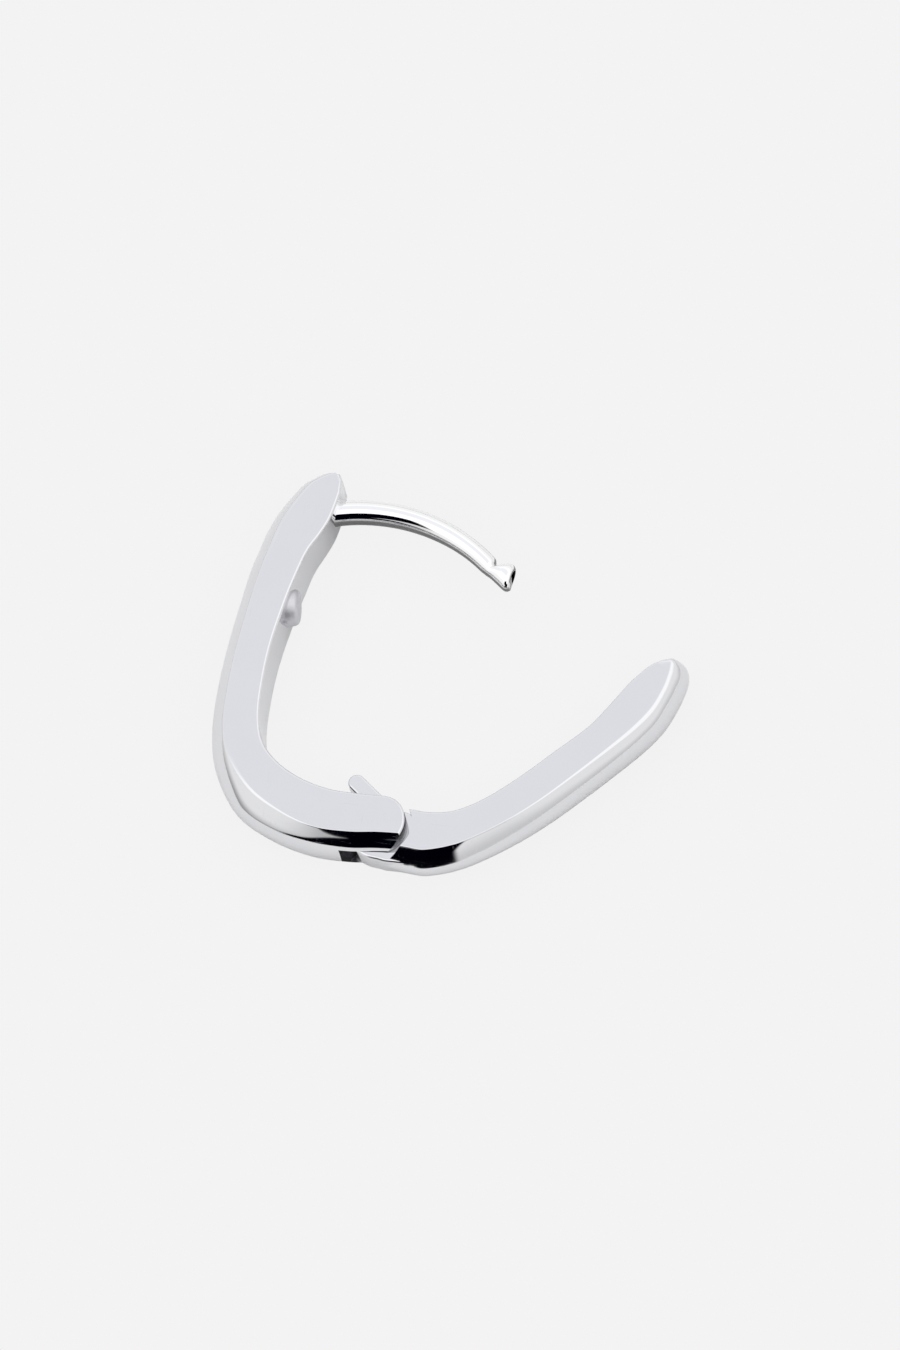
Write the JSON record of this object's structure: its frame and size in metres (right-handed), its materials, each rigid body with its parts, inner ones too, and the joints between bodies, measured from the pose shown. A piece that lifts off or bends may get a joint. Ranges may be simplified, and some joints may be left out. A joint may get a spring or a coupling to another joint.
{
  "type": "hinged huggie earring",
  "caption": "Oval huggie earring in polished silver: a front arm with a curved ear wire, hinged to a back arm with a snap tail and a socket for the wire's tip.",
  "frame": {"origin": "on the hinge axis, in the plane that the earring's flat side rests on", "axes": "+Z along the hinge axis, up from the surface that the earring lies on; +Y along the length of the closed hoop, from the hinge towards the ear wire; +X from the front arm towards the back arm"},
  "size_m": [0.0194, 0.0176, 0.0025],
  "materials": {
    "polished_silver": "mirror-polished silver with very fine polishing lines",
    "hinge_pin_silver": "drawn silver wire, unpolished"
  },
  "bodies": {
    "front": {"front_arm": "polished_silver", "hinge_pin": "hinge_pin_silver"},
    "back": {"back_arm": "polished_silver"}
  },
  "joints": [
    {"name": "huggie_hinge", "type": "hinge", "parent": "front", "child": "back", "pos_m": [0, 0, 0.00125], "axis": [0, 0, 1], "range_deg": [-20, 40]}
  ]
}
